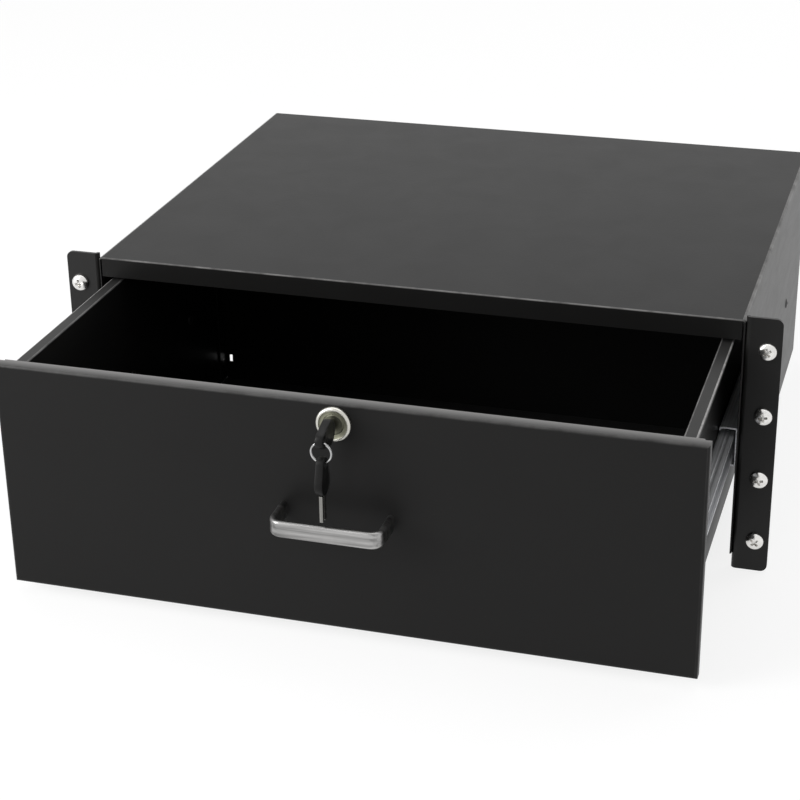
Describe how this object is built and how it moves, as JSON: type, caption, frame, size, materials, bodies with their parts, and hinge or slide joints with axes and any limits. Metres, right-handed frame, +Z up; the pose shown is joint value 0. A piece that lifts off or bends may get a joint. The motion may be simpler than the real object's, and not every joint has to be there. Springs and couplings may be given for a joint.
{
  "type": "rack drawer",
  "caption": "Lockable sliding drawer with ball-bearing slides in a casing whose ears bolt to a 19 inch equipment rack.",
  "frame": {"origin": "centre of the rack screw pattern, on the rear face of the ears, where they meet the rack posts", "axes": "+X right seen from the front, +Y into the rack, +Z up; the drawer opens towards -Y"},
  "size_m": [0.4826, 0.5355, 0.177],
  "materials": {
    "casing_paint": "fine satin black powder coat",
    "ear_paint": "fine satin black powder coat",
    "tray_paint": "fine satin black powder coat",
    "panel_paint": "satin black powder coat",
    "zinc_steel": "bright zinc plate",
    "cage_steel": "oiled strip",
    "ball_steel": "polished",
    "screw_nickel": "nickel plate",
    "black_fastener": "black",
    "zinc_fastener": "zinc plate",
    "handle_nickel": "satin nickel plate",
    "lock_chrome": "nickel plated die casting",
    "key_nickel": "nickel plate",
    "ring_steel": "nickel plate",
    "key_plastic": "moulded black"
  },
  "bodies": {
    "casing": {"casing_shell": "casing_paint", "ear_bracket_left": "ear_paint", "ear_bracket_right": "ear_paint", "rack_screws": "screw_nickel", "bracket_screws": "black_fastener", "outer_member_rivets": "black_fastener", "slide_outer_member_left": "zinc_steel", "slide_outer_member_right": "zinc_steel"},
    "cage_left": {"ball_cage_left": "cage_steel", "balls_left": "ball_steel"},
    "cage_right": {"ball_cage_right": "cage_steel", "balls_right": "ball_steel"},
    "drawer": {"drawer_tray": "tray_paint", "drawer_back": "tray_paint", "back_rivets": "black_fastener", "inner_member_rivets": "black_fastener", "front_panel": "panel_paint", "panel_studs": "zinc_fastener", "panel_nuts": "zinc_fastener", "slide_inner_member_left": "zinc_steel", "slide_inner_member_right": "zinc_steel", "handle_pull": "handle_nickel", "handle_screws": "zinc_fastener", "lock_body": "lock_chrome", "lock_nut": "zinc_fastener"},
    "plug": {"lock_plug": "lock_chrome", "lock_cam": "zinc_fastener", "cam_screw": "zinc_fastener"},
    "key": {"key_head": "key_plastic", "key_blade": "key_nickel"},
    "ring": {"key_ring": "ring_steel"},
    "spare_key": {"spare_key_head": "key_plastic", "spare_key_blade": "key_nickel"}
  },
  "joints": [
    {"name": "drawer_slide", "type": "slide", "parent": "casing", "child": "drawer", "axis": [0, -1, 0], "range_m": [-0.145, 0.08]},
    {"name": "cage_left_slide", "type": "slide", "parent": "casing", "child": "cage_left", "axis": [0, -1, 0], "range_m": [-0.0725, 0.04]},
    {"name": "cage_right_slide", "type": "slide", "parent": "casing", "child": "cage_right", "axis": [0, -1, 0], "range_m": [-0.0725, 0.04]},
    {"name": "lock_turn", "type": "hinge", "parent": "drawer", "child": "plug", "pos_m": [0, -0.155, 0.059], "axis": [0, 1, 0], "range_deg": [0, 90]},
    {"name": "key_pull", "type": "slide", "parent": "plug", "child": "key", "axis": [0, -1, 0], "range_m": [0, 0.016]},
    {"name": "ring_swing", "type": "hinge", "parent": "key", "child": "ring", "pos_m": [0, -0.17955, 0.059], "axis": [1, 0, 0], "range_deg": [-30, 20]},
    {"name": "spare_key_hang", "type": "hinge", "parent": "ring", "child": "spare_key", "pos_m": [0, -0.17955, 0.05134], "axis": [0, 1, 0], "range_deg": [-90, 0]}
  ],
  "couplings": [
    {"joint": "cage_left_slide", "follows": "drawer_slide", "ratio": 0.5},
    {"joint": "cage_right_slide", "follows": "drawer_slide", "ratio": 0.5},
    {"joint": "spare_key_hang", "follows": "lock_turn", "ratio": -1}
  ]
}
